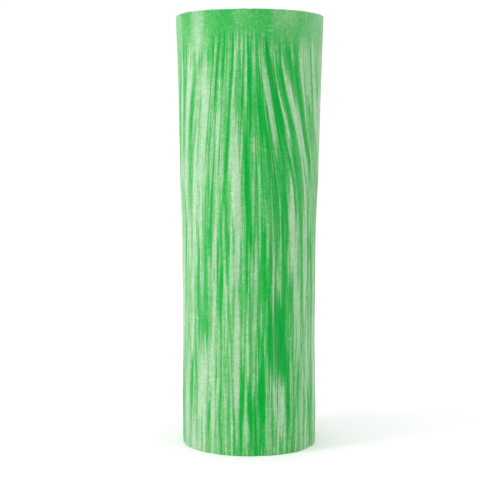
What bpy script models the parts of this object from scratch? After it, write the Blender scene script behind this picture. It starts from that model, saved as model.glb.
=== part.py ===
"""Roll of thick green craft felt, standing on one end.

One long strip of felt is wound on itself, with no core, and stands upright. The solid is the
wound form: a slightly uneven drum that spreads towards its top, creased along its length, with
the turns of the winding standing out on both ends as a spiral, and the step of the loose edge
down the back.

Metres, +Z up along the roll. The origin is in the middle of the end that the roll stands on.
Directions round the roll are in degrees from its front, the -Y side, towards its right, +X.
"""

import math
from bisect import bisect_right

import bmesh
import bpy

# Driving dimensions
ROLL_LENGTH = 0.450
TURN_PITCH = 0.00312
EYE_RADIUS = 0.004
COLUMNS_PER_TURN = 32
WINDING_COLUMNS = 669
WALL_BANDS = 13
LOOSE_EDGE = 215.0
EDGE_SLANT = 3.0

# The eye is the small hole left in the middle of the winding, closed here by a shallow dish
EYE_DEPTH = 0.006

TURNS = WINDING_COLUMNS / COLUMNS_PER_TURN
BODY_RADIUS = EYE_RADIUS + TURN_PITCH * (TURNS + 0.5)

# One turn of felt seen across its cut edge: share of the turn from its inner side, depth below
# the end of the roll. The middle is flat and both corners fall away into the seam.
CUT_EDGE = (
    # share, depth
    (0.00, 0.0013),
    (0.18, 0.0000),
    (0.82, 0.0000),
    (1.00, 0.0013),
)

# Radius of the drum at heights above the floor, tight below the middle and loose at the top
SPREAD = (
    # height, radius
    (0.000, 0.0707),
    (0.040, 0.0713),
    (0.105, 0.0703),
    (0.165, 0.0708),
    (0.215, 0.0709),
    (0.245, 0.0718),
    (0.276, 0.0732),
    (0.320, 0.0742),
    (0.371, 0.0754),
    (0.410, 0.0766),
    (0.450, 0.0780),
)

# How far the turns stand above or below the roll's length at its upper end, from the eye out
UPPER_END = (
    # turn, rise
    (0.0, -0.0030),
    (3.0, -0.0012),
    (8.0, 0.0000),
    (13.0, -0.0004),
    (17.0, -0.0012),
    (20.5, 0.0000),
)

# Slow swellings that keep the drum from being truly round
SWELLINGS = (
    # lobes, share of the radius, direction, drift from the lower end to the upper one
    (2, 0.0060, 110.0, 35.0),
    (3, 0.0035, 160.0, -50.0),
    (5, 0.0020, 100.0, 60.0),
)

# Soft creases along the length, troughs with a depth above zero and ridges with one below
CREASES = (
    # direction low down, direction high up, half width, depth, low end, high end
    (-76.0, -73.0, 8.0, 0.0009, -0.05, 0.34),
    (-61.0, -56.0, 7.0, -0.0008, 0.05, 0.50),
    (-46.0, -41.0, 8.0, 0.0009, -0.05, 0.40),
    (-33.0, -26.0, 7.0, 0.0012, -0.05, 0.41),
    (-18.0, -10.0, 7.0, -0.0008, 0.03, 0.37),
    (-7.0, -2.0, 6.0, 0.0008, 0.06, 0.42),
    (11.0, 4.0, 7.0, 0.0011, -0.05, 0.40),
    (20.0, 10.0, 6.0, -0.0006, 0.08, 0.41),
    (31.0, 17.0, 8.0, 0.0014, 0.02, 0.42),
    (46.0, 37.0, 8.0, -0.0009, -0.05, 0.39),
    (59.0, 50.0, 7.0, 0.0010, 0.04, 0.50),
    (76.0, 70.0, 8.0, -0.0008, -0.05, 0.43),
    (95.0, 98.0, 8.0, 0.0012, -0.05, 0.38),
    (118.0, 113.0, 9.0, -0.0008, 0.05, 0.50),
    (137.0, 143.0, 8.0, 0.0011, -0.05, 0.41),
    (166.0, 160.0, 9.0, -0.0007, -0.05, 0.36),
    (188.0, 194.0, 8.0, 0.0010, 0.08, 0.50),
    (236.0, 230.0, 9.0, 0.0012, -0.05, 0.40),
    (255.0, 258.0, 8.0, -0.0008, 0.03, 0.50),
    (270.0, 268.0, 7.0, 0.0009, 0.10, 0.43),
)
CREASE_FADE = 0.05

FELT_GREEN = (0.030, 0.420, 0.075, 1.0)
FELT_ROUGHNESS = 0.95


def clear_scene() -> None:
    """Remove every object the file opened with."""
    for old in list(bpy.data.objects):
        bpy.data.objects.remove(old, do_unlink=True)


def between(rows, wanted):
    """Value at a wanted place, along straight lines between rows of place and value."""
    places = [row[0] for row in rows]
    wanted = min(max(wanted, places[0]), places[-1])
    upper = min(bisect_right(places, wanted), len(rows) - 1)
    (low_place, low), (high_place, high) = rows[upper - 1], rows[upper]
    return low + (high - low) * (wanted - low_place) / (high_place - low_place)


def place(direction, radius, height):
    """Point at a direction in degrees from the front, a radius and a height."""
    angle = math.radians(direction - 90)
    return (radius * math.cos(angle), radius * math.sin(angle), height)


def direction_of(vert):
    """Direction of a vertex round the roll, in degrees from the front."""
    return math.degrees(math.atan2(vert.co.y, vert.co.x)) + 90


def outer_radius(direction):
    """Radius of the outermost turn before the roll settles, least just past the loose edge."""
    share = ((direction - LOOSE_EDGE) / 360) % 1
    return EYE_RADIUS + TURN_PITCH * (TURNS + share)


def wound_end(roll) -> None:
    """Lay the cut edge of the whole strip as a grid, then wind it into the roll's lower end.

    Each column of the grid crosses one turn of felt. The outer side of a turn and the inner
    side of the next one meet in a seam.
    """
    strips = len(CUT_EDGE) - 1
    grid = bmesh.ops.create_grid(
        roll, x_segments=WINDING_COLUMNS, y_segments=strips, size=0.5
    )
    for vert in grid["verts"]:
        column = round((vert.co.x + 0.5) * WINDING_COLUMNS)
        share, depth = CUT_EDGE[round((vert.co.y + 0.5) * strips)]
        turn = column / COLUMNS_PER_TURN
        direction = LOOSE_EDGE + 360 * (turn - TURNS)
        vert.co = place(direction, EYE_RADIUS + TURN_PITCH * (turn + share), depth)
    bmesh.ops.remove_doubles(roll, verts=roll.verts, dist=1e-6)


def rim(roll, outer):
    """Open edges of the wound ends: the ring round the outside, or the one round the eye."""
    least_outside = BODY_RADIUS - 2 * TURN_PITCH
    return [
        edge
        for edge in roll.edges
        if edge.is_boundary
        and (max(v.co.xy.length for v in edge.verts) > least_outside) == outer
    ]


def round_out(roll) -> None:
    """Halve the columns round the outside for a rounder drum.

    The rim's short edges cross the thickness of the loose edge, and stay as they are.
    """
    along = [edge for edge in rim(roll, outer=True) if edge.calc_length() > TURN_PITCH]
    made = bmesh.ops.subdivide_edges(roll, edges=along, cuts=1)
    for item in made["geom_inner"]:
        if isinstance(item, bmesh.types.BMVert):
            direction = direction_of(item)
            item.co = place(direction, outer_radius(direction), item.co.z)


def close_eye(roll) -> None:
    """Close the hole in the middle of the winding with a shallow dish."""
    lid = bmesh.ops.contextual_create(roll, geom=rim(roll, outer=False))["faces"]
    dish = bmesh.ops.poke(roll, faces=lid)["verts"]
    for vert in dish:
        vert.co.z = EYE_DEPTH


def second_end(roll) -> None:
    """Copy the lower end to the upper one, turned to face up."""
    copied = bmesh.ops.duplicate(roll, geom=roll.verts[:] + roll.edges[:] + roll.faces[:])
    for item in copied["geom"]:
        if isinstance(item, bmesh.types.BMVert):
            item.co.z = ROLL_LENGTH - item.co.z


def wall(roll) -> None:
    """Join the two ends by the outer turn, then cut it into bands that the shape can follow."""
    joined = bmesh.ops.bridge_loops(roll, edges=rim(roll, outer=True))
    upright = {
        edge
        for face in joined["faces"]
        for edge in face.edges
        if abs(edge.verts[0].co.z - edge.verts[1].co.z) > ROLL_LENGTH / 2
    }
    bmesh.ops.subdivide_edges(
        roll, edges=list(upright), cuts=WALL_BANDS - 1, use_grid_fill=True
    )


def eased(share):
    """Smooth step from 0 to 1."""
    share = min(max(share, 0.0), 1.0)
    return share * share * (3 - 2 * share)


def crease_depth(direction, height):
    """How far the creases draw the outermost turn in at a direction and a height."""
    upward = height / ROLL_LENGTH
    total = 0.0
    for low_way, high_way, half_width, depth, low_end, high_end in CREASES:
        middle = low_way + (high_way - low_way) * upward
        off = abs((direction - middle + 180) % 360 - 180) / half_width
        if off < 1:
            fade = eased((height - low_end) / CREASE_FADE)
            fade *= eased((high_end - height) / CREASE_FADE)
            total += depth * fade * (1 + math.cos(math.pi * off)) / 2
    return total


def settle(roll) -> None:
    """Give the plain drum its spread, swellings, creases, uneven top and slanting edge."""
    for vert in roll.verts:
        height = vert.co.z
        plain_radius = vert.co.xy.length
        direction = direction_of(vert)
        reach = plain_radius / BODY_RADIUS
        upward = height / ROLL_LENGTH
        spread = between(SPREAD, height) / BODY_RADIUS
        swelling = sum(
            share * math.cos(math.radians(lobes * (direction - facing - drift * upward)))
            for lobes, share, facing, drift in SWELLINGS
        )
        radius = plain_radius * spread * (1 + swelling * reach)
        radius -= crease_depth(direction, height) * reach**6
        rise = between(UPPER_END, (plain_radius - EYE_RADIUS) / TURN_PITCH) * upward**4
        vert.co = place(direction + EDGE_SLANT * (upward - 0.5), radius, height + rise)


def centre(roll) -> None:
    """Stand the roll with the middle of its reach over the origin."""
    across = [vert.co.x for vert in roll.verts]
    along = [vert.co.y for vert in roll.verts]
    middle = ((min(across) + max(across)) / 2, (min(along) + max(along)) / 2, 0.0)
    bmesh.ops.translate(roll, verts=roll.verts, vec=[-value for value in middle])


def felt():
    """Dense matt green felt."""
    material = bpy.data.materials.new("green_felt")
    material.use_nodes = True
    shader = material.node_tree.nodes["Principled BSDF"]
    shader.inputs["Base Color"].default_value = FELT_GREEN
    shader.inputs["Roughness"].default_value = FELT_ROUGHNESS
    shader.inputs["Metallic"].default_value = 0.0
    return material


def felt_roll(collection) -> None:
    """The whole roll, one closed solid."""
    roll = bmesh.new()
    wound_end(roll)
    round_out(roll)
    close_eye(roll)
    second_end(roll)
    wall(roll)
    settle(roll)
    centre(roll)
    bmesh.ops.recalc_face_normals(roll, faces=roll.faces)
    mesh = bpy.data.meshes.new("felt_roll")
    roll.to_mesh(mesh)
    roll.free()
    mesh.materials.append(felt())
    mesh.shade_smooth()
    mesh.set_sharp_from_angle(angle=math.radians(40))
    collection.objects.link(bpy.data.objects.new("felt_roll", mesh))


def main() -> None:
    """Build the roll in a collection of its own."""
    clear_scene()
    collection = bpy.data.collections.new("roll_of_felt")
    bpy.context.scene.collection.children.link(collection)
    felt_roll(collection)


main()
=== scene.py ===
"""Looks for the roll of thick green craft felt.

The strip is cut flat, given its thickness and rounded edges, and wound turn by turn onto the
packed roll. Its outer turn carries the soft lengthwise creases with their streaks of painted
highlight and painted shade, and both ends show the turns with painted shade between them.
Loose fibres stand out of the face and the cut edges.
Metres, +Z up. Directions round the roll are in degrees from its front (-Y) towards +X.
"""

import logging
import math
import random
from bisect import bisect_right
from dataclasses import dataclass, field, replace
from enum import Enum
from functools import cached_property

import bmesh
import bpy
from mathutils import Matrix, Vector, noise


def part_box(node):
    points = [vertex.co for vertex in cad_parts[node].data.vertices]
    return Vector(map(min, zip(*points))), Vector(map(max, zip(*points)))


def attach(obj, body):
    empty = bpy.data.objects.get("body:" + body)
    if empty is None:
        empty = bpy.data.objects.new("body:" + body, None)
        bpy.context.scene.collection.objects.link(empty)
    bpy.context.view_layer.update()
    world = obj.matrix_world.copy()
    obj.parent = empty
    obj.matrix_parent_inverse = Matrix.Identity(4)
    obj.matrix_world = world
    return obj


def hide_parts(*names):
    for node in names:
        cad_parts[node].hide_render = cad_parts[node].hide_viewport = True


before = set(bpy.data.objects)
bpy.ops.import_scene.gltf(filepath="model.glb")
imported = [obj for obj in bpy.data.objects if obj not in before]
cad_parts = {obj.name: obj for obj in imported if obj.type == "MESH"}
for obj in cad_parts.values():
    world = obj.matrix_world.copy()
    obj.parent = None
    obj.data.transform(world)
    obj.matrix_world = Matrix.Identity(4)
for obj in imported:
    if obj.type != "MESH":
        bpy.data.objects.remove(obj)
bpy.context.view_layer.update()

LOG = logging.getLogger("roll_of_felt")
NODE = "felt_roll"
BODY = "root"

# The map that the surface's finish is laid out on, with no part of it over another
BAKE_MAP = "OFBake"

Socket = bpy.types.NodeSocket
Shape = bmesh.types.BMesh
Colour = tuple[float, float, float, float]
Span = tuple[float, float]
Rows = tuple[Span, ...]


class Side(Enum):
    """The parts of the strip's surface, by how they are seen on the wound roll."""

    SHOWN_FACE = "shown face"
    UPPER_RIM = "upper rim"
    LOWER_RIM = "lower rim"
    LOOSE_END = "loose end"
    INNER_END = "inner end"
    HIDDEN_OUTWARD = "hidden outward face"
    HIDDEN_INWARD = "hidden inward face"


def eased(share: float) -> float:
    """Smooth step from 0 to 1, level outside them."""
    share = min(max(share, 0.0), 1.0)
    return share * share * (3 - 2 * share)


def between(rows: Rows, wanted: float) -> float:
    """Value at a wanted place, along straight lines between rows of place and value.

    Args:
        rows: Rows of place and value, with the places rising.
        wanted: Place to read.

    Returns:
        The value there.
    """
    places = [row[0] for row in rows]
    wanted = min(max(wanted, places[0]), places[-1])
    upper = min(bisect_right(places, wanted), len(rows) - 1)
    (low_place, low), (high_place, high) = rows[upper - 1], rows[upper]
    return low + (high - low) * (wanted - low_place) / (high_place - low_place)


def apart(direction: float, other: float) -> float:
    """Signed degrees from one direction to another, the short way round."""
    return (direction - other + 180) % 360 - 180


def bumpy(x: float, y: float = 0.5) -> float:
    """Smooth noise about 0 at a place."""
    return noise.noise(Vector((x, y, 0.5)))


def link(name: str, data: bpy.types.ID) -> bpy.types.Object:
    """Put data in the scene as an object.

    Args:
        name: Name of the object.
        data: Its mesh, lamp or camera.

    Returns:
        The object.
    """
    made = bpy.data.objects.new(name, data)
    bpy.context.scene.collection.objects.link(made)
    return made


def to_mesh(shape: Shape, name: str) -> bpy.types.Mesh:
    """Turn a finished shape into a mesh, and free the shape.

    Args:
        shape: The shape.
        name: Name of the mesh.

    Returns:
        The mesh.
    """
    mesh = bpy.data.meshes.new(name)
    shape.to_mesh(mesh)
    shape.free()
    return mesh


@dataclass(frozen=True)
class Crease:
    """One soft lengthwise crease, a trough where its depth is above zero and a ridge below."""

    low_way: float
    high_way: float
    half_width: float
    depth: float
    low_end: float
    high_end: float
    fade: float = 0.05

    def sunk(self, direction: float, height: float, roll_length: float) -> float:
        """How far the crease draws the outer turn in at a place.

        Args:
            direction: Degrees from the front.
            height: Metres above the lower end.
            roll_length: Length of the roll.

        Returns:
            Metres inwards.
        """
        middle = self.low_way + (self.high_way - self.low_way) * height / roll_length
        off = abs(apart(direction, middle)) / self.half_width
        if off >= 1:
            return 0.0
        along = eased((height - self.low_end) / self.fade)
        along *= eased((self.high_end - height) / self.fade)
        return self.depth * along * (1 + math.cos(math.pi * off)) / 2


@dataclass(frozen=True)
class Streak:
    """One narrow spindle along the outer turn.

    Above zero its tone is a painted highlight on a ridge, below zero painted shade in a fold.
    """

    low_way: float
    high_way: float
    half_width: float
    low_end: float
    high_end: float
    tone: float
    tip: float = 0.15
    end_fade: float = 1.5
    side_fade: int = 4

    def tone_at(self, direction: float, height: float) -> float:
        """Tone that the streak gives a place.

        Args:
            direction: Degrees from the front.
            height: Metres above the lower end.

        Returns:
            The tone, 0 outside the streak.
        """
        if not self.low_end < height < self.high_end:
            return 0.0
        upward = (height - self.low_end) / (self.high_end - self.low_end)
        fullness = math.sqrt(math.sin(math.pi * upward))
        middle = self.low_way + (self.high_way - self.low_way) * upward
        half_width = self.half_width * (self.tip + (1 - self.tip) * fullness)
        off = abs(apart(direction, middle)) / half_width
        if off >= 1:
            return 0.0
        return self.tone * fullness**self.end_fade * (1 - off**self.side_fade)


# The broad creases, the same as on the solid
BROAD_CREASES = tuple(
    Crease(*row)
    for row in (
        # direction low down, direction high up, half width, depth, low end, high end
        (-76.0, -73.0, 8.0, 0.0009, -0.05, 0.34),
        (-61.0, -56.0, 7.0, -0.0008, 0.05, 0.50),
        (-46.0, -41.0, 8.0, 0.0009, -0.05, 0.40),
        (-33.0, -26.0, 7.0, 0.0012, -0.05, 0.41),
        (-18.0, -10.0, 7.0, -0.0008, 0.03, 0.37),
        (-7.0, -2.0, 6.0, 0.0008, 0.06, 0.42),
        (11.0, 4.0, 7.0, 0.0011, -0.05, 0.40),
        (20.0, 10.0, 6.0, -0.0006, 0.08, 0.41),
        (31.0, 17.0, 8.0, 0.0014, 0.02, 0.42),
        (46.0, 37.0, 8.0, -0.0009, -0.05, 0.39),
        (59.0, 50.0, 7.0, 0.0010, 0.04, 0.50),
        (76.0, 70.0, 8.0, -0.0008, -0.05, 0.43),
        (95.0, 98.0, 8.0, 0.0012, -0.05, 0.38),
        (118.0, 113.0, 9.0, -0.0008, 0.05, 0.50),
        (137.0, 143.0, 8.0, 0.0011, -0.05, 0.41),
        (166.0, 160.0, 9.0, -0.0007, -0.05, 0.36),
        (188.0, 194.0, 8.0, 0.0010, 0.08, 0.50),
        (236.0, 230.0, 9.0, 0.0012, -0.05, 0.40),
        (255.0, 258.0, 8.0, -0.0008, 0.03, 0.50),
        (270.0, 268.0, 7.0, 0.0009, 0.10, 0.43),
    )
)

# The streaks on the side that the photograph shows
# Each streak is a painted highlight where its tone is above zero and painted shade below it
FRONT_STREAKS = tuple(
    Streak(*row)
    for row in (
        # direction at its low end, direction at its high end, half width, low end, high end, tone
        (-80, -76, 5.0, 0.010, 0.400, 0.60),
        (-70, -68, 1.4, 0.230, 0.380, 0.80),
        (-57, -38, 3.0, 0.350, 0.432, 0.60),
        (-41, -33, 5.0, 0.240, 0.436, 0.72),
        (-53, -40, 4.5, 0.170, 0.320, 0.80),
        (-33, -27, 2.6, 0.270, 0.415, 0.55),
        (-27, -21, 1.8, 0.280, 0.418, 0.45),
        (-8, -13, 3.4, 0.180, 0.385, 0.75),
        (80, 56, 3.4, 0.260, 0.430, 0.70),
        (-29, -20, 2.0, 0.280, 0.428, 0.60),
        (24, 7, 3.1, 0.310, 0.418, 0.72),
        (37, 18, 1.3, 0.310, 0.392, 0.60),
        (54, 19, 3.5, 0.290, 0.420, 0.75),
        (66, 38, 3.4, 0.280, 0.424, 0.60),
        (-37, -21, 1.8, 0.280, 0.434, -0.80),
        (-21, -14, 2.6, 0.250, 0.395, -0.90),
        (-58, -50, 2.6, 0.230, 0.400, -0.55),
        (4, 0, 2.4, 0.315, 0.428, -0.85),
        (12, 6, 1.5, 0.310, 0.378, -0.60),
        (32, 11, 2.8, 0.310, 0.425, -0.85),
        (41, 24, 2.2, 0.310, 0.400, -0.85),
        (60, 27, 3.2, 0.290, 0.428, -0.90),
        (-28, -28, 20.0, 0.375, 0.545, -0.42),
        (3, -6, 2.4, 0.190, 0.400, -0.95),
        (-68, -66, 2.4, 0.180, 0.275, -0.75),
        (-50, -45, 1.9, 0.130, 0.290, -0.55),
        (62, 57, 2.2, 0.160, 0.330, -0.55),
        (67, 64, 3.0, 0.130, 0.240, -0.55),
        (-29, -23, 1.7, 0.140, 0.310, -0.70),
        (-23, -18, 1.3, 0.150, 0.280, -0.60),
        (-31, -26, 2.4, 0.200, 0.300, 0.65),
        (7, 4, 2.6, 0.160, 0.315, 0.50),
        (14, 11, 3.0, 0.150, 0.300, -0.65),
        (22, 18, 2.3, 0.150, 0.310, 0.50),
        (34, 29, 3.0, 0.150, 0.300, -0.55),
        (41, 36, 2.6, 0.140, 0.310, 0.65),
        (50, 46, 3.0, 0.120, 0.250, -0.45),
        (56, 53, 2.0, 0.130, 0.290, 0.45),
        (-63, -50, 2.0, 0.045, 0.175, 0.95),
        (-46, -40, 1.6, 0.022, 0.088, 0.95),
        (-31, -27, 2.2, 0.020, 0.082, 0.95),
        (-55, -52, 3.0, 0.020, 0.150, -0.45),
        (-37, -33, 1.3, 0.012, 0.080, -0.80),
        (-18, -17, 1.2, 0.015, 0.170, -0.75),
        (-11, -9, 3.6, 0.050, 0.170, 0.55),
        (-25, -23, 3.4, 0.060, 0.150, 0.35),
        (-3, -3, 3.2, 0.070, 0.160, 0.30),
        (-10, -9, 2.6, 0.005, 0.100, 0.65),
        (28, 32, 16.0, 0.405, 0.600, 0.50),
        (-58, -53, 9.0, 0.395, 0.520, -0.50),
        (-41, -40, 6.0, 0.400, 0.470, 0.55),
        (54, 46, 12.0, 0.330, 0.430, 0.30),
        (42, 40, 18.0, -0.060, 0.090, 0.32),
        (22, 22, 14.0, -0.060, 0.085, 0.34),
        (3, -1, 2.6, 0.020, 0.085, -0.70),
        (7, 5, 1.3, 0.025, 0.090, 0.50),
        (12, 10, 3.2, 0.030, 0.092, -1.00),
        (19, 17, 3.0, 0.075, 0.175, -0.70),
        (27, 24, 4.2, 0.078, 0.175, -1.00),
        (26, 16, 2.2, 0.018, 0.105, 0.50),
        (40, 46, 1.5, 0.038, 0.130, 0.95),
        (59, 47, 1.5, 0.045, 0.115, 0.95),
        (51, 50, 1.2, 0.110, 0.145, 0.85),
        (30, 30, 1.3, 0.036, 0.080, 0.80),
        (47, 46, 1.7, 0.018, 0.078, 0.85),
        (36, 34, 2.8, 0.012, 0.075, -0.55),
        (74, 70, 4.4, 0.010, 0.180, 0.60),
        (63, 60, 2.6, 0.010, 0.080, -0.70),
        (0, 0, 2.0, 0.010, 0.040, 0.35),
        (-71, -67, 2.0, 0.060, 0.160, 0.55),
    )
)


@dataclass(frozen=True)
class StreakSpread:
    """Painted highlight and shade streaks on the sides and back, drawn at random as thick as on the
    front.
    """

    seed: int = 11
    first: float = 86.0
    last: float = 272.0
    step: float = 3.6
    stray: float = 2.0
    lean: float = 4.0
    lengths: Span = (0.09, 0.20)
    bands: Rows = (
        # lowest low end, highest high end
        (0.01, 0.16),
        (0.12, 0.30),
        (0.26, 0.43),
    )
    kinds: Rows = (
        # half width, tone
        (1.2, -0.80),
        (1.6, 0.75),
        (2.0, -0.65),
        (2.4, 0.50),
        (3.0, -0.50),
        (3.8, 0.30),
    )

    def streaks(self) -> tuple[Streak, ...]:
        """Draw the streaks.

        Returns:
            The streaks, in order round the roll.
        """
        draw = random.Random(self.seed)
        streaks = []
        direction = self.first
        while direction < self.last:
            for low_band, high_band in self.bands:
                length = draw.uniform(*self.lengths)
                low_end = draw.uniform(low_band, max(low_band, high_band - length))
                way = direction + draw.uniform(-self.stray, self.stray)
                high_way = way + draw.uniform(-self.lean, self.lean)
                half_width, tone = draw.choice(self.kinds)
                streaks.append(Streak(way, high_way, half_width, low_end, low_end + length, tone))
            direction += self.step
        return tuple(streaks)


@dataclass(frozen=True)
class Winding:
    """The wound shape of the strip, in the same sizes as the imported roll.

    Its fan is how many degrees the folds on either side draw in towards the front at the top.
    """

    roll_length: float = 0.450
    pitch: float = 0.00312
    eye_radius: float = 0.004
    turns: float = 669 / 32
    loose_edge: float = 215.0
    edge_slant: float = 3.0
    thickness: float = 0.0029
    spread: Rows = (
        # height, radius
        (0.000, 0.0707),
        (0.040, 0.0713),
        (0.105, 0.0703),
        (0.165, 0.0708),
        (0.215, 0.0709),
        (0.245, 0.0718),
        (0.276, 0.0732),
        (0.320, 0.0742),
        (0.371, 0.0754),
        (0.410, 0.0766),
        (0.450, 0.0780),
    )
    upper_end: Rows = (
        # turn, rise
        (0.0, -0.0030),
        (3.0, -0.0012),
        (8.0, 0.0000),
        (13.0, -0.0004),
        (17.0, -0.0012),
        (20.5, 0.0000),
    )
    swellings: tuple[tuple[float, float, float, float], ...] = (
        # lobes, share of the radius, direction, drift from the lower end to the upper one
        (2, 0.0060, 110.0, 35.0),
        (3, 0.0035, 160.0, -50.0),
        (5, 0.0020, 100.0, 60.0),
    )
    fan_left: float = 17.0
    fan_right: float = 40.0
    fan_reach: Span = (42.0, 118.0)
    fan_heights: Span = (0.215, 0.43)
    fan_tries: int = 24
    fan_error: float = 0.00001

    @property
    def body_radius(self) -> float:
        """Mean radius of the outermost turn before the roll settles."""
        return self.eye_radius + self.pitch * (self.turns + 0.5)

    @property
    def strip_length(self) -> float:
        """Length of the whole strip."""
        return self.flat_length(self.turns)

    def flat_length(self, turn: float) -> float:
        """Metres along the flat strip from its inner end to a turn."""
        return math.tau * turn * (self.eye_radius + self.pitch * (turn + 1) / 2)

    def turn_at(self, flat_length: float) -> float:
        """The turn that a length along the flat strip reaches.

        Args:
            flat_length: Metres from the inner end.

        Returns:
            Turns from the inner end.
        """
        half = self.pitch / 2
        linear = self.eye_radius + half
        return (math.sqrt(linear**2 + 4 * half * flat_length / math.tau) - linear) / (2 * half)

    def direction(self, turn: float) -> float:
        """Direction of a turn, in degrees from the front of the outermost one."""
        return self.loose_edge + 360 * (turn - self.turns)

    def fanned(self, station: float, height: float) -> float:
        """Where a line of the cloth that fans out downwards from the top passes a height.

        Args:
            station: Metres along the strip at the lower edge.
            height: Metres up from the strip's lower edge.

        Returns:
            Metres along the strip at that height.
        """
        direction = self.direction(self.turn_at(station))
        near, far = self.fan_reach
        low, high = self.fan_heights
        if abs(direction) > far or height < low:
            return station
        fan = self.fan_right if direction > 0 else self.fan_left
        share = math.sin(math.radians(direction)) * eased((far - abs(direction)) / (far - near))
        turned = math.radians(fan * eased((height - low) / (high - low)) * share)
        return station - turned * self.body_radius

    def unfanned(self, along: float, height: float) -> float:
        """The station at the lower edge whose fanned line passes a point.

        Args:
            along: Metres along the strip.
            height: Metres up from the strip's lower edge.

        Returns:
            Metres along the strip at the lower edge.
        """
        station = along
        for _ in range(self.fan_tries):
            missed = along - self.fanned(station, height)
            station += missed
            if abs(missed) < self.fan_error:
                break
        return station


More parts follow.
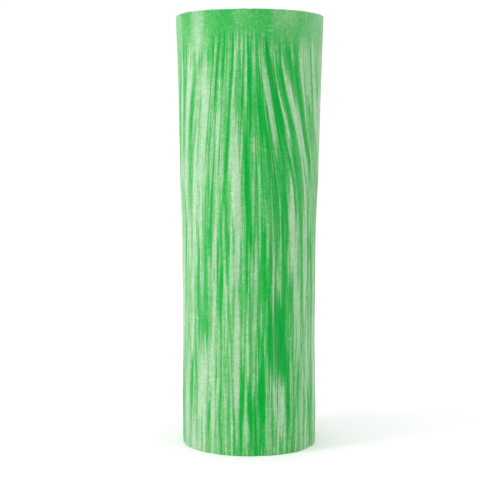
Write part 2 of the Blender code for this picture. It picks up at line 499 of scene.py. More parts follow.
@dataclass
class FeltSheet:
    """The whole strip of felt, wound."""

    winding: Winding = field(default_factory=Winding)
    streaks: tuple[Streak, ...] = field(
        default_factory=lambda: FRONT_STREAKS + StreakSpread().streaks()
    )
    fine_turns: float = 1.04
    fine_columns_per_turn: int = 360
    coarse_step: float = 0.0045
    most_coarse_angle: float = 15.0
    fine_row: float = 0.0066
    coarse_row: float = 0.090
    rim_rows: tuple[float, ...] = (0.0, 0.0016, 0.0050)
    coarse_rows: tuple[float, ...] = (0.0, 0.0016, 0.0140)
    seam_reach: float = 0.0001
    corner_radians: float = 1.0
    edge_round: float = 0.0010
    edge_segments: int = 2
    lift: float = 0.0016
    lift_reach: float = 0.045
    least_lift: float = 0.35
    streak_relief: float = 0.00060
    lump_relief: float = 0.00024
    lumps: Span = (95.0, 55.0)
    plain_rim: float = 0.010
    loose_gap: float = 0.00017
    loose_turns: float = 4.3
    ragged_cut: float = 0.00022
    ragged_waves: float = 160.0
    plain_band: Span = (0.410, 0.430)
    band_wander: float = 0.016
    band_waves: float = 38.0
    sector: float = 6.0
    inner_tone: float = 0.42
    # Brightest painted highlight, then two scales of the painted shade in the streaks
    painted_highlight_top: float = 1.16
    streak_share: float = 0.74
    shade_share: float = 0.75
    painted_side_light: Rows = (
        # direction, lightness painted for how light falls on that side
        (-180.0, 0.46),
        (-130.0, 0.52),
        (-90.0, 0.68),
        (-50.0, 0.74),
        (-32.0, 0.70),
        (-15.0, 0.59),
        (2.0, 0.49),
        (22.0, 0.39),
        (38.0, 0.47),
        (52.0, 0.63),
        (75.0, 0.70),
        (100.0, 0.56),
        (135.0, 0.48),
        (180.0, 0.46),
    )
    shift: Vector = field(default_factory=Vector)

    @cached_property
    def streaks_near(self) -> list[list[Streak]]:
        """The streaks that pass through or close by each sector round the roll.

        Returns:
            A list for each sector.
        """
        sectors: list[list[Streak]] = [[] for _ in range(round(360 / self.sector))]
        for streak in self.streaks:
            middle = (streak.low_way + streak.high_way) / 2
            reach = abs(streak.high_way - streak.low_way) / 2 + streak.half_width + self.sector
            for number, near in enumerate(sectors):
                if abs(apart(number * self.sector, middle)) <= reach:
                    near.append(streak)
        return sectors

    def coarse_stations(self) -> list[float]:
        """Place the columns of the inner turns.

        Returns:
            Their lengths along the strip.
        """
        w = self.winding
        last = w.turns - self.fine_turns
        stations, turn = [], 0.0
        while turn < last:
            stations.append(w.flat_length(turn))
            radius = w.eye_radius + w.pitch * (turn + 0.5)
            angle = min(math.degrees(self.coarse_step / radius), self.most_coarse_angle)
            turn += angle / 360
        return stations

    def fine_stations(self) -> list[float]:
        """Place the columns of the outermost turn.

        Returns:
            Their lengths along the strip.
        """
        w = self.winding
        columns = round(self.fine_turns * self.fine_columns_per_turn)
        first = w.turns - self.fine_turns
        return [
            w.flat_length(first + self.fine_turns * column / columns)
            for column in range(columns + 1)
        ]

    def heights(self, near_ends: tuple[float, ...], step: float) -> list[float]:
        """Heights of the rows across the strip.

        Args:
            near_ends: Distances from either end of the rows close to it.
            step: Widest step between the rows in the middle.

        Returns:
            Heights from the lower end to the upper one.
        """
        length = self.winding.roll_length
        low, high = near_ends[-1], length - near_ends[-1]
        bands = math.ceil((high - low) / step)
        middle = [low + (high - low) * band / bands for band in range(1, bands)]
        return list(near_ends) + middle + [length - e for e in reversed(near_ends)]

    @staticmethod
    def panel(strip: Shape, stations: list[float], heights: list[float]) -> None:
        """Add a flat panel of the strip as a grid with its own columns and rows.

        Args:
            strip: Mesh of the flat strip.
            stations: Lengths along the strip.
            heights: Heights across it.
        """
        columns, rows = len(stations) - 1, len(heights) - 1
        made = bmesh.ops.create_grid(strip, x_segments=columns, y_segments=rows, size=0.5)
        for vert in made["verts"]:
            column = round((vert.co.x + 0.5) * columns)
            row = round((vert.co.y + 0.5) * rows)
            vert.co = (stations[column], heights[row], 0.0)

    def flat_strip(self) -> Shape:
        """Cut the strip flat, with its thickness and its rounded cut edges.

        Returns:
            The strip, with X along it, Y across it and Z through it.
        """
        w = self.winding
        strip = bmesh.new()
        coarse, fine = self.coarse_stations(), self.fine_stations()
        self.panel(strip, coarse, self.heights(self.coarse_rows, self.coarse_row))
        self.panel(strip, fine, self.heights(self.rim_rows, self.fine_row))
        low, high = coarse[-1] - self.seam_reach, fine[0] + self.seam_reach
        seam = [
            edge
            for edge in strip.edges
            if edge.is_boundary
            and all(low < vert.co.x < high for vert in edge.verts)
        ]
        bmesh.ops.bridge_loops(strip, edges=seam)
        for vert in strip.verts:
            vert.co.x = w.fanned(vert.co.x, vert.co.y)
        bmesh.ops.solidify(strip, geom=strip.faces[:], thickness=w.thickness)
        bmesh.ops.recalc_face_normals(strip, faces=strip.faces)
        inner_face = min(vert.co.z for vert in strip.verts)
        bmesh.ops.translate(strip, verts=strip.verts, vec=(0.0, 0.0, -inner_face))
        corners = [e for e in strip.edges if e.calc_face_angle(0.0) > self.corner_radians]
        bmesh.ops.bevel(
            strip,
            geom=corners,
            offset=self.edge_round,
            offset_type="OFFSET",
            affect="EDGES",
            segments=self.edge_segments,
            profile=0.5,
            material=-1,
            clamp_overlap=False,
        )
        return strip

    def wound_place(self, along: float, across: float, through: float) -> Vector:
        """Where a point of the flat strip lies on the settled roll, before it is centred.

        Args:
            along: Metres along the strip from its inner end.
            across: Metres up from the strip's lower edge.
            through: Metres outwards from the strip's inner face.

        Returns:
            The point.
        """
        w = self.winding
        turn = w.turn_at(along)
        direction = w.direction(turn)
        upward = across / w.roll_length
        plain = w.eye_radius + w.pitch * (turn + 0.5)
        reach = plain / w.body_radius
        spread = between(w.spread, across) / w.body_radius
        swelling = sum(
            share * math.cos(math.radians(lobes * (direction - facing - drift * upward)))
            for lobes, share, facing, drift in w.swellings
        )
        radius = plain * spread * (1 + swelling * reach)
        outermost = eased(2 * reach - 1)
        if outermost:
            sunk = sum(crease.sunk(direction, across, w.roll_length) for crease in BROAD_CREASES)
            radius -= sunk * outermost
        radius += through - w.thickness / 2
        radius += self.looseness(turn, direction, upward)
        near_end = max(0.0, 1 - (w.strip_length - along) / self.lift_reach)
        radius += self.lift * (self.least_lift + (1 - self.least_lift) * upward) * near_end**2
        if self.shown(along, through):
            radius += self.face_relief(along, across)
        rise = between(w.upper_end, turn + 0.5) * upward**4
        height = max(0.0, across + rise + self.ragged(along, across))
        angle = math.radians(direction + w.edge_slant * (upward - 0.5) - 90)
        return Vector((radius * math.cos(angle), radius * math.sin(angle), height))

    def shown(self, along: float, through: float) -> bool:
        """Whether a point of the flat strip lies on the outward face of the outermost turn."""
        w = self.winding
        return through > w.thickness / 2 and w.turn_at(along) > w.turns - self.fine_turns

    def tone(self, along: float, across: float) -> float:
        """Streak tone of the outer turn at a place: painted highlight above zero, painted shade below
        it.

        Args:
            along: Metres along the strip.
            across: Metres up from the strip's lower edge.

        Returns:
            The tone, from about -1 to 1.
        """
        w = self.winding
        direction = w.direction(w.turn_at(along)) + w.edge_slant * (across / w.roll_length - 0.5)
        near = self.streaks_near[round(direction / self.sector) % len(self.streaks_near)]
        total = sum(streak.tone_at(direction, across) for streak in near)
        return math.tanh(total * (1.0 if total > 0 else self.shade_share))

    def tone_with_painted_light(self, along: float, across: float) -> float:
        """Painted lightness of the outer turn, from 0 in a fold's painted shade to 1 in a highlight.

        Args:
            along: Metres along the strip.
            across: Metres up from the strip's lower edge.

        Returns:
            The lightness.
        """
        w = self.winding
        side = between(self.painted_side_light, apart(w.direction(w.turn_at(along)), 0.0))
        tone = self.tone(along, across)
        return side + tone * (self.painted_highlight_top - side if tone > 0 else self.streak_share)

    def fold_share(self, along: float, across: float) -> float:
        """How much of the fine folds shows at a place, fading out in the plain band at the top.

        Args:
            along: Metres along the strip.
            across: Metres up from the strip's lower edge.

        Returns:
            1 below the band, 0 in it.
        """
        low, high = self.plain_band
        wander = self.band_wander * bumpy(along * self.band_waves)
        return eased((high + wander - across) / (high - low))

    def face_relief(self, along: float, across: float) -> float:
        """Small relief of the outer turn's outward face: streaks and soft lumps.

        Args:
            along: Metres along the strip.
            across: Metres up from the strip's lower edge.

        Returns:
            Metres outwards.
        """
        near_rim = min(across, self.winding.roll_length - across)
        lumps = self.lump_relief * bumpy(along * self.lumps[0], across * self.lumps[1])
        return lumps * eased(near_rim / self.plain_rim) + self.streak_relief * self.tone(along, across)

    def looseness(self, turn: float, direction: float, upward: float) -> float:
        """Metres that a turn stands out, in uneven gaps that widen towards the upper end."""
        slow = math.tau * turn / self.loose_turns + math.sin(math.radians(direction))
        return self.loose_gap * math.sin(slow) * upward**2

    def ragged(self, along: float, across: float) -> float:
        """Metres that the uneven cut raises or lowers the strip's edges at a place."""
        edge = float(across > self.winding.roll_length / 2)
        return self.ragged_cut * bumpy(along * self.ragged_waves, edge)

    def side_of(self, face: bmesh.types.BMFace) -> Side:
        """Which part of the flat strip's surface a face belongs to.

        Args:
            face: A face of the flat strip.

        Returns:
            The side.
        """
        w = self.winding
        middle = face.calc_center_median()
        outward = middle.z > w.thickness / 2
        shown = self.shown(middle.x, middle.z)
        rim = self.edge_round if shown else self.rim_rows[1]
        if middle.x > w.strip_length - self.edge_round:
            return Side.LOOSE_END
        if middle.x < self.edge_round:
            return Side.INNER_END
        if middle.y > w.roll_length - rim:
            return Side.UPPER_RIM
        if middle.y < rim:
            return Side.LOWER_RIM
        if shown:
            return Side.SHOWN_FACE
        return Side.HIDDEN_OUTWARD if outward else Side.HIDDEN_INWARD

    def lay_out(self, strip: Shape) -> None:
        """Lay the strip's surface out on its map while it is still flat.

        Most of the map goes to the face that shows. The rims are cut into short rows, and what
        the winding hides is squeezed into the last few rows.

        Args:
            strip: The flat strip.
        """
        bands = BakeBands(self.winding, self.fine_turns, self.rim_rows[1])
        layer = strip.loops.layers.uv.new(BAKE_MAP)
        for face in strip.faces:
            side = self.side_of(face)
            middle = face.calc_center_median()
            for loop in face.loops:
                loop[layer].uv = bands.place(side, middle.x, loop.vert.co)

    def build(self) -> bpy.types.Object:
        """Wind the strip and dress it.

        Returns:
            The finished object.
        """
        w = self.winding
        strip = self.flat_strip()
        self.lay_out(strip)
        cloth_place = strip.verts.layers.float_vector.new("cloth_place")
        streak_place = strip.verts.layers.float_vector.new("streak_place")
        painted_light_tone = strip.verts.layers.float.new("painted_light_tone")
        streaked = strip.verts.layers.float.new("streaked")
        seam = strip.verts.layers.float.new("seam")
        for vert in strip.verts:
            along, across, through = vert.co
            vert[cloth_place] = vert.co
            vert[streak_place] = (w.unfanned(along, across), across, through)
            shown = self.shown(along, through)
            # The outer face's tone carries painted highlights and painted shade; the hidden turns keep
            # a plain tone
            vert[painted_light_tone] = self.tone_with_painted_light(along, across) if shown else self.inner_tone
            vert[streaked] = self.fold_share(along, across)
            # Painted shade in the corners where the turns meet, everywhere but the outer face
            off_middle = abs(through - w.thickness / 2)
            in_corner = off_middle > w.thickness / 2 - self.edge_round / 2
            vert[seam] = float(in_corner and not shown)
            vert.co = self.wound_place(along, across, through)
        self.centre(strip)
        bmesh.ops.recalc_face_normals(strip, faces=strip.faces)
        mesh = to_mesh(strip, "felt_sheet")
        mesh.shade_smooth()
        return link("felt_sheet", mesh)

    def centre(self, strip: Shape) -> None:
        """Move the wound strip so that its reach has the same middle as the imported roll.

        Args:
            strip: The wound strip.
        """
        low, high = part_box(NODE)
        across = [vert.co.x for vert in strip.verts]
        deep = [vert.co.y for vert in strip.verts]
        self.shift = Vector(
            (
                (low[0] + high[0] - min(across) - max(across)) / 2,
                (low[1] + high[1] - min(deep) - max(deep)) / 2,
                0.0,
            )
        )
        bmesh.ops.translate(strip, verts=strip.verts, vec=self.shift)


@dataclass(frozen=True)
class BakeBands:
    """Bands of the strip's map, one above the other, each for one side of the strip."""

    winding: Winding
    fine_turns: float
    rim_depth: float
    margin: float = 0.007
    overrun: float = 0.009
    row_inset: float = 0.08
    bands: tuple[tuple[Side, int, float, float], ...] = (
        # side, rows, lowest place, height of the whole band
        (Side.SHOWN_FACE, 1, 0.002, 0.748),
        (Side.UPPER_RIM, 10, 0.754, 0.120),
        (Side.LOWER_RIM, 10, 0.876, 0.080),
        (Side.LOOSE_END, 1, 0.958, 0.008),
        (Side.INNER_END, 1, 0.968, 0.004),
        (Side.HIDDEN_OUTWARD, 2, 0.974, 0.012),
        (Side.HIDDEN_INWARD, 2, 0.987, 0.012),
    )

    def place(self, side: Side, face_along: float, spot: Vector) -> Span:
        """Place of a corner of a face on the map.

        Args:
            side: Side of the strip that the face belongs to.
            face_along: Metres along the strip of the face's middle.
            spot: The corner on the flat strip.

        Returns:
            The place, from 0 to 1 both ways.
        """
        _, rows, low, height = next(band for band in self.bands if band[0] is side)
        along, start, length = spot.x, 0.0, self.winding.strip_length
        if side is Side.SHOWN_FACE:
            start = self.winding.flat_length(self.winding.turns - self.fine_turns)
        if side in (Side.LOOSE_END, Side.INNER_END):
            along, face_along, length = spot.y, spot.y, self.winding.roll_length
        row_length = (length - start) / rows
        row = min(max(int((face_along - start) / row_length), 0), rows - 1)
        share = (along - start) / row_length - row
        share = min(max(share, -self.overrun), 1 + self.overrun)
        inset = self.row_inset if rows > 1 else 0.0
        inside = inset + (1 - 2 * inset) * self.share_up(side, spot)
        return self.margin + (1 - 2 * self.margin) * share, low + height / rows * (row + inside)

    def share_up(self, side: Side, spot: Vector) -> float:
        """How far up its row a corner lies.

        Args:
            side: Side of the strip.
            spot: The corner on the flat strip.

        Returns:
            A share from 0 to 1.
        """
        w = self.winding
        if side in (Side.SHOWN_FACE, Side.HIDDEN_OUTWARD, Side.HIDDEN_INWARD):
            return spot.y / w.roll_length
        depth = {
            Side.UPPER_RIM: w.roll_length - spot.y,
            Side.LOWER_RIM: spot.y,
            Side.LOOSE_END: w.strip_length - spot.x,
            Side.INNER_END: spot.x,
        }[side]
        round_the_edge = w.thickness - spot.z
        round_the_edge += depth if spot.z < w.thickness / 2 else -depth
        share = (round_the_edge + self.rim_depth) / (w.thickness + 2 * self.rim_depth)
        return min(max(share, 0.0), 1.0)


@dataclass(frozen=True)
class Strand:
    """Shape of one loose fibre, a thin bent spindle of three sides, one unit long."""

    bow: float
    sway: float
    half_thickness: float = 0.016
    taper: float = 0.45
    bends: int = 3
    arch: float = 0.85

    def mesh(self, name: str) -> bpy.types.Mesh:
        """Make the strand lying along +X and bowed up in +Z.

        Args:
            name: Name of the mesh.

        Returns:
            The mesh.
        """
        strand = bmesh.new()
        bmesh.ops.create_cone(
            strand,
            cap_ends=True,
            segments=3,
            radius1=self.half_thickness,
            radius2=self.half_thickness * self.taper,
            depth=1.0,
            matrix=Matrix.Translation((0.5, 0.0, 0.0)) @ Matrix.Rotation(math.pi / 2, 4, "Y"),
        )
        for bend in range(1, self.bends):
            bmesh.ops.bisect_plane(
                strand,
                geom=strand.verts[:] + strand.edges[:] + strand.faces[:],
                plane_co=(bend / self.bends, 0.0, 0.0),
                plane_no=(1.0, 0.0, 0.0),
            )
        for vert in strand.verts:
            along = vert.co.x
            vert.co.z += self.bow * math.sin(math.pi * along * self.arch)
            vert.co.y += self.sway * along * along
        bmesh.ops.recalc_face_normals(strand, faces=strand.faces)
        return to_mesh(strand, name)


class Growth(Enum):
    """Where loose fibres grow."""

    FACE = "face"
    UPPER_EDGE = "upper edge"


@dataclass
class FibreCoat:
    """Loose fibres that stand out of one part of the wound strip."""

    name: str
    sheet: FeltSheet
    growth: Growth
    count: int
    seed: int
    shortest: float
    longest: float
    steepest: float
    thickness: float = 0.00009
    sink: float = 0.0001
    bare_rim: float = 0.001
    lightness: Span = (-0.05, 0.20)
    map_inset: float = 0.1
    curls: Rows = (
        # bow, sway
        (0.10, 0.20),
        (0.22, -0.30),
        (0.16, 0.45),
        (0.05, -0.12),
        (0.30, 0.10),
    )

    def root(self, draw: random.Random) -> tuple[Vector, Vector, float]:
        """Choose where a fibre grows.

        Args:
            draw: Random draws.

        Returns:
            The place, the way straight out of the felt, and the felt's tone there with its painted
            light.
        """
        w = self.sheet.winding
        if self.growth is Growth.FACE:
            along = w.strip_length - draw.random() * math.tau * w.body_radius
            across = draw.uniform(self.longest, w.roll_length - self.bare_rim)
            spot = self.sheet.wound_place(along, across, w.thickness)
            out = Vector((spot.x, spot.y, 0.0)).normalized()
            tone = self.sheet.tone_with_painted_light(along, across)
        else:
            along = w.strip_length * math.sqrt(draw.random())
            through = draw.uniform(0.0, w.thickness)
            spot = self.sheet.wound_place(along, w.roll_length, through)
            out = Vector((0.0, 0.0, 1.0))
            tone = self.sheet.inner_tone
        return spot + self.sheet.shift - out * self.sink, out, tone

    def build(self) -> bpy.types.Object:
        """Grow the fibres as one mesh.

        Returns:
            The finished object.
        """
        draw = random.Random(self.seed)
        shapes = [Strand(bow, sway).mesh("strand") for bow, sway in self.curls]
        coat = bmesh.new()
        tones = []
        for _ in range(self.count):
            spot, out, tone = self.root(draw)
            length = draw.uniform(self.shortest, self.longest)
            slim = self.thickness / (length * 2 * Strand.half_thickness)
            side = out.orthogonal().normalized()
            heading = Matrix.Rotation(draw.uniform(0, math.tau), 4, out)
            along = heading @ side
            tilt = math.radians(draw.uniform(0.0, self.steepest))
            along = (along * math.cos(tilt) + out * math.sin(tilt)).normalized()
            across = out.cross(along).normalized()
            up = along.cross(across)
            turned = Matrix((along, across * slim, up * slim)).transposed().to_4x4()
            placed = Matrix.Translation(spot) @ turned @ Matrix.Scale(length, 4)
            strand = draw.choice(shapes).copy()
            strand.transform(placed)
            coat.from_mesh(strand)
            tones.append(tone + draw.uniform(*self.lightness))
            bpy.data.meshes.remove(strand)
        return self.finish(coat, tones, len(shapes[0].vertices))

    def finish(self, coat: Shape, tones: list[float], verts_each: int) -> bpy.types.Object:
        """Give the fibres their tones and their map, and make the object.

        Args:
            coat: Mesh of all the fibres, one after the other.
            tones: Tone of each fibre.
            verts_each: Number of points in a fibre.

        Returns:
            The object.
        """
        shade = coat.verts.layers.float.new("painted_light_tone")
        layer = coat.loops.layers.uv.new(BAKE_MAP)
        for number, vert in enumerate(coat.verts):
            vert[shade] = tones[number // verts_each]
        cells = math.ceil(math.sqrt(self.count))
        inset, inside = self.map_inset, 1 - 2 * self.map_inset
        coat.faces.ensure_lookup_table()
        faces_each = len(coat.faces) // self.count
        for number, face in enumerate(coat.faces):
            fibre, slot = divmod(number, faces_each)
            left, low = (fibre % cells) / cells, (fibre // cells) / cells
            for corner, loop in enumerate(face.loops):
                across = (slot + inset + inside * (corner in (1, 2))) / faces_each
                up = inset + inside * (corner in (2, 3))
                loop[layer].uv = (left + across / cells, low + up / cells)
        mesh = to_mesh(coat, self.name)
        mesh.shade_smooth()
        return link(self.name, mesh)


@dataclass(frozen=True)
class Pattern:
    """Cloudy noise over the cloth, and its share in the finish."""

    scale: float
    share: float
    stretch: tuple[float, float, float] = (1.0, 1.0, 1.0)
    detail: float = 2.0
    distortion: float = 0.0
    softness: float = 0.0


class Bench:
    """Sets out and wires the nodes of one material."""

    def __init__(self, name: str) -> None:
        """Start a material with its shader.

        Args:
            name: Name of the material.
        """
        self.material = bpy.data.materials.new(name)
        self.material.use_nodes = True
        self.tree = self.material.node_tree
        self.shader = self.tree.nodes["Principled BSDF"]

    def add(
        self, kind: str, sockets: dict[str, object] | None = None, **options: object
    ) -> bpy.types.Node:
        """Add a node.

        Args:
            kind: The node's type after "ShaderNode".
            sockets: Values, or outputs of other nodes, by the name of the input they go to.
            options: Settings of the node.

        Returns:
            The node.
        """
        node = self.tree.nodes.new("ShaderNode" + kind)
        for name, value in options.items():
            setattr(node, name, value)
        for name, value in (sockets or {}).items():
            self.give(node.inputs[name], value)
        return node

    def give(self, socket: Socket, value: object) -> None:
        """Set a socket to a value, or wire an output to it.

        Args:
            socket: The socket.
            value: The value, or an output of another node.
        """
        if isinstance(value, Socket):
            self.tree.links.new(value, socket)
        else:
            socket.default_value = value

    def attribute(self, name: str, output: str) -> Socket:
        """Read an attribute of the mesh."""
        return self.add("Attribute", attribute_name=name).outputs[output]

    def cloudy(self, place: Socket, pattern: Pattern, turn: float = 0.0) -> Socket:
        """Add the noise of a pattern, about 0.5 on average.

        Args:
            place: Coordinates to read.
            pattern: The pattern. Where it has a softness, its noise is pushed towards two
                levels, like folds with clear sides.
            turn: Degrees that the pattern is turned in the cloth.

        Returns:
            The noise.
        """
        mapping = self.add(
            "Mapping",
            {
                "Vector": place,
                "Rotation": (0.0, 0.0, math.radians(turn)),
                "Scale": [1 / share for share in pattern.stretch],
            },
            vector_type="TEXTURE",
        )
        made = self.add(
            "TexNoise",
            {
                "Vector": mapping.outputs["Vector"],
                "Scale": pattern.scale,
                "Detail": pattern.detail,
                "Distortion": pattern.distortion,
            },
        )
        if not pattern.softness:
            return made.outputs["Fac"]
        softness = (0.5 - pattern.softness, 0.5 + pattern.softness)
        return self.levelled(made.outputs["Fac"], softness, (0.0, 1.0))

    def levelled(self, value: Socket, taken: Span, given: Span) -> Socket:
        """Spread a range of a value over another range, easing into both of its ends.

        Args:
            value: The value.
            taken: Lowest and highest value that still count.
            given: What these become.

        Returns:
            The new value.
        """
        made = self.add(
            "MapRange",
            {
                "Value": value,
                "From Min": taken[0],
                "From Max": taken[1],
                "To Min": given[0],
                "To Max": given[1],
            },
            interpolation_type="SMOOTHSTEP",
        )
        return made.outputs["Result"]

    def blend(self, total: Socket | float, part: Socket, share: float) -> Socket:
        """Add a share of a part, taken about its middle of 0.5, to a total."""
        return self.sum_up("MULTIPLY_ADD", self.sum_up("SUBTRACT", part, 0.5), share, total)

    def strands(self, place: Socket, stir: Pattern, turn: float, fineness: float) -> Socket:
        """Add thin winding lines, like fibres that lie about one way.

        Each line runs where a stirred noise passes its middle.

        Args:
            place: Coordinates to read.
            stir: The noise.
            turn: Degrees that the lines are turned in the cloth.
            fineness: How much thinner the lines are than the gaps between them.

        Returns:
            1 along the lines, 0 between them.
        """
        off = self.sum_up("SUBTRACT", self.cloudy(place, stir, turn), 0.5)
        off = self.sum_up("ABSOLUTE", off)
        return self.sum_up("MULTIPLY_ADD", off, -fineness, 1.0, clamp=True)

    def sum_up(self, operation: str, *values: Socket | float, clamp: bool = False) -> Socket:
        """Work out one sum of values.

        Args:
            operation: Name of the sum.
            values: The values, in order.
            clamp: Whether the result is held to 0 and 1.

        Returns:
            The result.
        """
        made = self.add("Math", operation=operation, use_clamp=clamp)
        for socket, value in zip(made.inputs, values):
            self.give(socket, value)
        return made.outputs[0]

    def ramp(self, value: Socket, stops: tuple[tuple[float, Colour], ...]) -> Socket:
        """Turn a value into a colour.

        Args:
            value: From 0 to 1.
            stops: Rows of place and colour.

        Returns:
            The colour.
        """
        node = self.add("ValToRGB", {"Fac": value})
        elements = node.color_ramp.elements
        elements[0].position, elements[0].color = stops[0]
        elements[1].position, elements[1].color = stops[-1]
        for position, colour in stops[1:-1]:
            elements.new(position).color = colour
        return node.outputs["Color"]


@dataclass(frozen=True)
class FeltFinish:
    """Dense matt green felt, with painted highlights and the painted shade of its folds and seams."""

    name: str = "green_felt"
    # From the deep green of painted shade to the pale green of painted highlights
    stops: tuple[tuple[float, Colour], ...] = (
        (0.00, (0.002, 0.380, 0.040, 1.0)),
        (0.20, (0.016, 0.420, 0.062, 1.0)),
        (0.40, (0.072, 0.464, 0.106, 1.0)),
        (0.60, (0.200, 0.535, 0.210, 1.0)),
        (0.80, (0.362, 0.622, 0.355, 1.0)),
        (1.00, (0.530, 0.730, 0.518, 1.0)),
    )
    roughness: float = 1.0
    specular: float = 0.04
    sheen: float = 0.42
    sheen_roughness: float = 0.28
    # Fine fold streaks: a real bump, and painted highlight and shade along it
    folds: tuple[Pattern, ...] = (
        # features in a metre, share, stretch, detail, distortion, softness
        Pattern(120.0, 0.32, (1.0, 0.040, 1.0), 2.0, 0.0, 0.050),
        Pattern(300.0, 0.38, (1.0, 0.032, 1.0), 2.0, 0.0, 0.055),
        Pattern(620.0, 0.42, (1.0, 0.022, 1.0)),
    )
    pile_taken: Span = (-0.18, 1.18)
    pile_given: Span = (0.03, 0.95)
    clouds: Pattern = Pattern(55.0, 0.14)
    mottle: Pattern = Pattern(240.0, 0.23, detail=4.0, distortion=0.6)
    # Painted shade in the seams between the turns
    painted_seam_shade: float = -0.45
    fold_height: float = 2.4
    mottle_height: float = 1.2
    stir: Pattern = Pattern(520.0, 0.11, (1.0, 0.24, 1.0), 1.0, 1.2)
    fibre_height: float = 0.45
    relief: float = 0.0005
    relief_strength: float = 0.9
    fibres: tuple[tuple[float, float, float], ...] = (
        # lines in a metre, degrees turned in the cloth, fineness
        (520.0, 12.0, 13.0),
        (640.0, 58.0, 11.0),
        (430.0, 101.0, 14.0),
        (760.0, 149.0, 10.0),
    )

    def shade(self, bench: Bench) -> None:
        """Set the even parts of the finish on the shader's own sockets.

        Args:
            bench: Bench of the material.
        """
        for name, value in (
            ("Roughness", self.roughness),
            ("Specular IOR Level", self.specular),
            ("Sheen Weight", self.sheen),
            ("Sheen Roughness", self.sheen_roughness),
        ):
            bench.give(bench.shader.inputs[name], value)

    def material(self) -> bpy.types.Material:
        """Make the felt's material.

        Returns:
            The material.
        """
        bench = Bench(self.name)
        self.shade(bench)
        place = bench.attribute("cloth_place", "Vector")
        fanned = bench.attribute("streak_place", "Vector")
        tone = bench.attribute("painted_light_tone", "Fac")
        # The fine folds give both a bump and painted highlight and shade
        along: Socket | float = 0.0
        for fold in self.folds:
            along = bench.blend(along, bench.cloudy(fanned, fold), fold.share)
        along = bench.sum_up("MULTIPLY", along, bench.attribute("streaked", "Fac"))
        tone = bench.levelled(bench.sum_up("ADD", along, tone), self.pile_taken, self.pile_given)
        tone = bench.blend(tone, bench.cloudy(place, self.clouds), self.clouds.share)
        mottle = bench.cloudy(place, self.mottle)
        tone = bench.blend(tone, mottle, self.mottle.share)
        height = bench.sum_up("MULTIPLY", along, self.fold_height)
        height = bench.blend(height, mottle, self.mottle_height)
        for scale, turn, fineness in self.fibres:
            strands = bench.strands(place, replace(self.stir, scale=scale), turn, fineness)
            tone = bench.blend(tone, strands, self.stir.share)
            height = bench.blend(height, strands, self.fibre_height)
        # Painted shade in the seams between the turns
        seam = bench.attribute("seam", "Fac")
        tone = bench.sum_up("MULTIPLY_ADD", seam, self.painted_seam_shade, tone)
        bench.give(bench.shader.inputs["Base Color"], bench.ramp(tone, self.stops))
        bump = bench.add(
            "Bump", {"Height": height, "Distance": self.relief, "Strength": self.relief_strength}
        )
        bench.give(bench.shader.inputs["Normal"], bump.outputs["Normal"])
        return bench.material


@dataclass(frozen=True)
class FibreFinish(FeltFinish):
    """The same felt on single loose fibres, a little lighter and shinier."""

    name: str = "green_fibre"
    roughness: float = 0.8
    mottle: Pattern = Pattern(700.0, 0.30)

    def material(self) -> bpy.types.Material:
        """Make the fibres' material.

        Returns:
            The material.
        """
        bench = Bench(self.name)
        self.shade(bench)
        place = bench.add("TexCoord").outputs["Object"]
        # Each fibre's tone carries the painted light of the felt where it grows
        tone = bench.attribute("painted_light_tone", "Fac")
        tone = bench.blend(tone, bench.cloudy(place, self.mottle), self.mottle.share)
        bench.give(bench.shader.inputs["Base Color"], bench.ramp(tone, self.stops))
        return bench.material


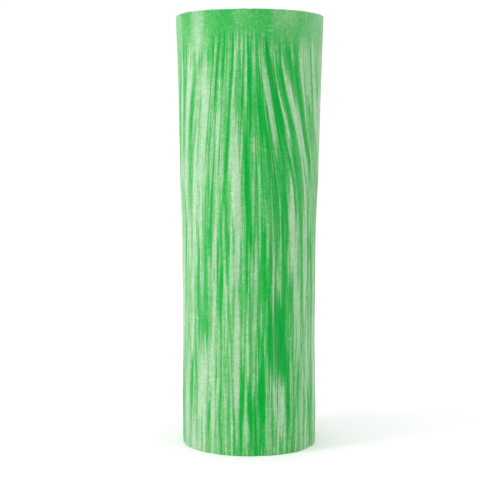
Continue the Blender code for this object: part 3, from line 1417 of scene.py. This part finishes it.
@dataclass(frozen=True)
class Studio:
    """Pale floor, soft light and the camera."""

    floor_size: float = 12.0
    floor_colour: Colour = (0.96, 0.96, 0.96, 1.0)
    floor_roughness: float = 0.9
    room_light: float = 1.04
    camera_distance: float = 1.26
    camera_height: float = 0.312
    pitch_down: float = 4.37
    turn_left: float = 0.47
    lens: float = 89.1
    sensor: float = 36.0
    lit_height: float = 0.22
    lamps: tuple[tuple[str, tuple[float, float, float], float, float], ...] = (
        # name, place, size, power
        ("key", (-2.0, -1.0, 1.0), 0.9, 26.0),
        ("fill", (2.2, -0.6, 1.0), 1.4, 6.0),
    )

    def camera(self) -> None:
        """Set the camera where the photograph was taken from."""
        data = bpy.data.cameras.new("camera")
        data.lens = self.lens
        data.sensor_width = self.sensor
        camera = link("camera", data)
        camera.location = (0.0, -self.camera_distance, self.camera_height)
        camera.rotation_euler = (
            math.radians(90 - self.pitch_down),
            0.0,
            math.radians(self.turn_left),
        )
        bpy.context.scene.camera = camera

    def floor(self) -> None:
        """Lay the pale floor."""
        flat = bmesh.new()
        bmesh.ops.create_grid(flat, x_segments=1, y_segments=1, size=self.floor_size / 2)
        floor = link("floor", to_mesh(flat, "floor"))
        bench = Bench("pale_floor")
        bench.give(bench.shader.inputs["Base Color"], self.floor_colour)
        bench.give(bench.shader.inputs["Roughness"], self.floor_roughness)
        floor.data.materials.append(bench.material)

    def light(self) -> None:
        """Light the roll softly from both sides and above."""
        world = bpy.data.worlds.new("studio")
        world.use_nodes = True
        background = world.node_tree.nodes["Background"]
        background.inputs["Color"].default_value = (1.0, 1.0, 1.0, 1.0)
        background.inputs["Strength"].default_value = self.room_light
        bpy.context.scene.world = world
        for name, place, size, power in self.lamps:
            data = bpy.data.lights.new(name, "AREA")
            data.shape = "DISK"
            data.size = size
            data.energy = power
            lamp = link(name, data)
            lamp.location = place
            aim = Vector((0.0, 0.0, self.lit_height)) - Vector(place)
            lamp.rotation_euler = aim.to_track_quat("-Z", "Y").to_euler()
        bpy.context.scene.view_settings.view_transform = "Standard"


def declare(piece: bpy.types.Object, material: bpy.types.Material) -> None:
    """Dress a piece and tie it to the roll's body and its finish.

    Args:
        piece: The finished piece.
        material: Its material.
    """
    piece.data.materials.append(material)
    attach(piece, BODY)
    triangles = sum(len(face.vertices) - 2 for face in piece.data.polygons)
    LOG.info("%s: %d triangles", piece.name, triangles)


def main() -> None:
    """Build the roll, light it and report each piece."""
    logging.basicConfig(level=logging.INFO)
    studio = Studio()
    studio.camera()
    sheet = FeltSheet()
    piece = sheet.build()
    declare(piece, FeltFinish().material())
    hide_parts(NODE)
    sheet.winding.strip_length
    loose = FibreFinish().material()
    coats = (
        # name, growth, count, seed, shortest, longest, steepest
        ("face_fibres", Growth.FACE, 7000, 5, 0.0018, 0.0050, 12.0),
        ("edge_fibres", Growth.UPPER_EDGE, 4500, 8, 0.0008, 0.0022, 70.0),
    )
    for name, *habit in coats:
        declare(FibreCoat(name, sheet, *habit).build(), loose)
    studio.floor()
    studio.light()


if __name__ == "__main__":
    main()
